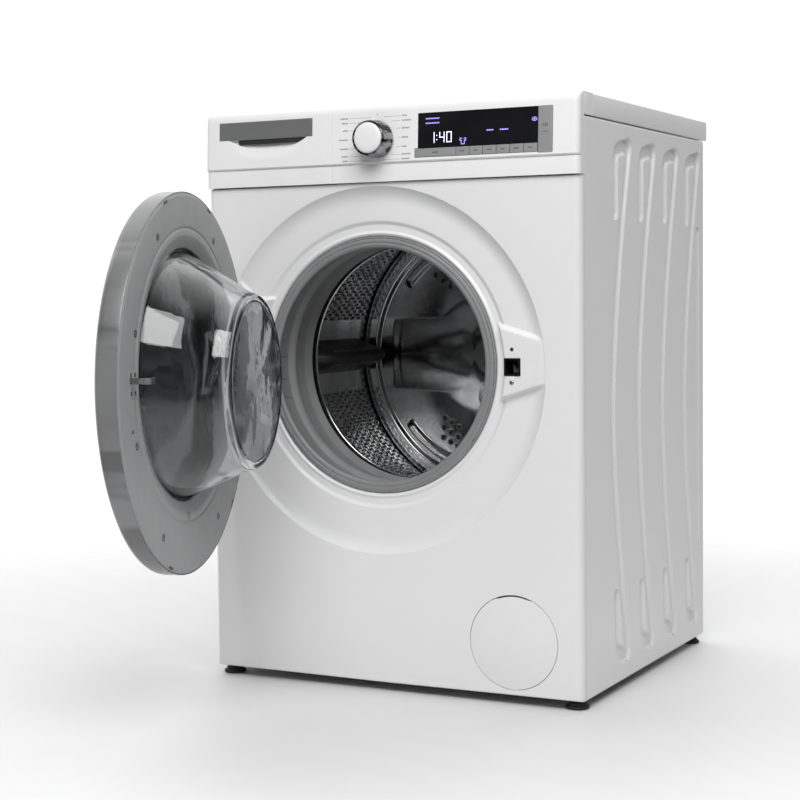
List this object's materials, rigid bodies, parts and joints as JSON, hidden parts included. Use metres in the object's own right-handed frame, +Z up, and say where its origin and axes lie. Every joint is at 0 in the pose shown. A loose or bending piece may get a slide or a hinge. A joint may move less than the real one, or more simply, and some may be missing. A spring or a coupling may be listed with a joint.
{
  "type": "front load washing machine",
  "caption": "Front loading washing machine: boxed steel cabinet, round glass bowl door standing open, belt-driven perforated drum, dial, display and detergent drawer.",
  "frame": {"origin": "middle of the footprint of the machine with its door open, at floor level", "axes": "+Z up, -Y out of the front of the machine, +X to the right of someone facing it"},
  "size_m": [0.6, 1.0684, 0.85],
  "materials": {
    "white_steel": "white baked enamel, smooth satin gloss",
    "white_plastic": "white injection moulding, satin gloss",
    "grey_plastic": "mid-grey moulded plastic, fine matt grain",
    "tub_plastic": "pale filled polypropylene",
    "dark_plastic": "dark moulded plastic",
    "black_gloss": "black glossy display window",
    "silver_plastic": "silver lacquered plastic",
    "chrome": "bright plated",
    "stainless": "polished stainless sheet",
    "galvanised": "dull galvanised sheet",
    "bearing_steel": "ground steel",
    "cast_aluminium": "as-cast, fine grain",
    "gasket_rubber": "grey moulded rubber, slight bloom",
    "black_rubber": "black rubber",
    "concrete": "cast concrete",
    "smoked_glass": "smoked, glossy",
    "clear_glass": "clear pressed glass",
    "board_green": "lacquered circuit board"
  },
  "bodies": {
    "cabinet": {"side_panel_left": "white_steel", "side_panel_right": "white_steel", "back_panel": "galvanised", "front_panel": "white_steel", "top_cover": "white_plastic", "base_tray": "galvanised", "cross_rail": "galvanised", "control_fascia": "white_plastic", "display_window": "black_gloss", "control_board": "board_green", "drawer_housing": "tub_plastic", "inlet_valve": "dark_plastic", "door_gasket": "gasket_rubber", "tub_front": "tub_plastic", "tub_rear": "tub_plastic", "heater": "bearing_steel", "counterweight": "concrete", "bearing_front": "bearing_steel", "bearing_rear": "bearing_steel", "motor": "dark_plastic", "drive_belt": "black_rubber", "suspension_spring_left": "bearing_steel", "suspension_spring_right": "bearing_steel", "damper_left": "dark_plastic", "damper_right": "dark_plastic", "drain_pump": "dark_plastic", "door_lock": "dark_plastic", "hinge_bracket": "galvanised"},
    "door": {"door_inner_ring": "grey_plastic", "door_outer_ring": "silver_plastic", "door_glass": "clear_glass", "door_cover": "smoked_glass", "hinge_arm": "galvanised"},
    "latch": {"latch_hook": "bearing_steel"},
    "drawer": {"drawer_front": "white_plastic", "drawer_tray": "white_plastic"},
    "dial": {"dial_knob": "white_plastic", "dial_ring": "chrome"},
    "drum": {"drum_shell": "stainless", "drum_back": "stainless", "lifter_1": "grey_plastic", "lifter_2": "grey_plastic", "lifter_3": "grey_plastic", "drum_spider": "cast_aluminium", "drum_pulley": "cast_aluminium"},
    "motor_rotor": {"motor_pulley": "bearing_steel"},
    "flap": {"service_flap": "white_plastic"},
    "filter": {"filter_cap": "grey_plastic"},
    "delay_key_body": {"delay_key": "silver_plastic"},
    "option_key_1_body": {"option_key_1": "silver_plastic"},
    "option_key_2_body": {"option_key_2": "silver_plastic"},
    "option_key_3_body": {"option_key_3": "silver_plastic"},
    "option_key_4_body": {"option_key_4": "silver_plastic"},
    "option_key_5_body": {"option_key_5": "silver_plastic"},
    "option_key_6_body": {"option_key_6": "silver_plastic"},
    "start_key_body": {"start_key": "silver_plastic"},
    "foot_front_left_body": {"foot_front_left": "black_rubber"},
    "foot_front_right_body": {"foot_front_right": "black_rubber"},
    "foot_rear_left_body": {"foot_rear_left": "black_rubber"},
    "foot_rear_right_body": {"foot_rear_right": "black_rubber"}
  },
  "joints": [
    {"name": "door_hinge", "type": "hinge", "parent": "cabinet", "child": "door", "pos_m": [-0.251, -0.05484, 0.475], "axis": [0, 0, -1], "range_deg": [-75.5, 39.5]},
    {"name": "latch_tilt", "type": "hinge", "parent": "door", "child": "latch", "pos_m": [-0.12721, -0.48557, 0.475], "axis": [0, 0, 1], "range_deg": [0, 6], "stiffness_Nm_per_rad": 0.5},
    {"name": "drawer_slide", "type": "slide", "parent": "cabinet", "child": "drawer", "axis": [0, -1, 0], "range_m": [0, 0.2]},
    {"name": "dial_turn", "type": "hinge", "parent": "cabinet", "child": "dial", "pos_m": [-0.007, -0.04484, 0.798], "axis": [0, 1, 0], "continuous": true},
    {"name": "delay_key_press", "type": "slide", "parent": "cabinet", "child": "delay_key_body", "axis": [0, 1, 0], "range_m": [0, 0.001], "stiffness_N_per_m": 600},
    {"name": "option_key_1_press", "type": "slide", "parent": "cabinet", "child": "option_key_1_body", "axis": [0, 1, 0], "range_m": [0, 0.001], "stiffness_N_per_m": 600},
    {"name": "option_key_2_press", "type": "slide", "parent": "cabinet", "child": "option_key_2_body", "axis": [0, 1, 0], "range_m": [0, 0.001], "stiffness_N_per_m": 600},
    {"name": "option_key_3_press", "type": "slide", "parent": "cabinet", "child": "option_key_3_body", "axis": [0, 1, 0], "range_m": [0, 0.001], "stiffness_N_per_m": 600},
    {"name": "option_key_4_press", "type": "slide", "parent": "cabinet", "child": "option_key_4_body", "axis": [0, 1, 0], "range_m": [0, 0.001], "stiffness_N_per_m": 600},
    {"name": "option_key_5_press", "type": "slide", "parent": "cabinet", "child": "option_key_5_body", "axis": [0, 1, 0], "range_m": [0, 0.001], "stiffness_N_per_m": 600},
    {"name": "option_key_6_press", "type": "slide", "parent": "cabinet", "child": "option_key_6_body", "axis": [0, 1, 0], "range_m": [0, 0.001], "stiffness_N_per_m": 600},
    {"name": "start_key_press", "type": "slide", "parent": "cabinet", "child": "start_key_body", "axis": [0, 1, 0], "range_m": [0, 0.001], "stiffness_N_per_m": 600},
    {"name": "drum_spin", "type": "hinge", "parent": "cabinet", "child": "drum", "pos_m": [-0.0185, 0.27516, 0.475], "axis": [0, 1, 0], "continuous": true},
    {"name": "motor_spin", "type": "hinge", "parent": "cabinet", "child": "motor_rotor", "pos_m": [0.05, 0.47516, 0.15], "axis": [0, 1, 0], "continuous": true},
    {"name": "flap_hinge", "type": "hinge", "parent": "cabinet", "child": "flap", "pos_m": [0.196, -0.02464, 0.0305], "axis": [1, 0, 0], "range_deg": [0, 95]},
    {"name": "filter_turn", "type": "hinge", "parent": "cabinet", "child": "filter", "pos_m": [0.196, -0.00484, 0.0885], "axis": [0, -1, 0], "range_deg": [0, 180]},
    {"name": "foot_front_left_turn", "type": "hinge", "parent": "cabinet", "child": "foot_front_left_body", "pos_m": [-0.282, 0.00016, 0.02], "axis": [0, 0, 1], "continuous": true},
    {"name": "foot_front_right_turn", "type": "hinge", "parent": "cabinet", "child": "foot_front_right_body", "pos_m": [0.282, 0.00016, 0.02], "axis": [0, 0, 1], "continuous": true},
    {"name": "foot_rear_left_turn", "type": "hinge", "parent": "cabinet", "child": "foot_rear_left_body", "pos_m": [-0.282, 0.49416, 0.02], "axis": [0, 0, 1], "continuous": true},
    {"name": "foot_rear_right_turn", "type": "hinge", "parent": "cabinet", "child": "foot_rear_right_body", "pos_m": [0.282, 0.49416, 0.02], "axis": [0, 0, 1], "continuous": true}
  ],
  "couplings": [
    {"joint": "motor_spin", "follows": "drum_spin", "ratio": 10}
  ]
}
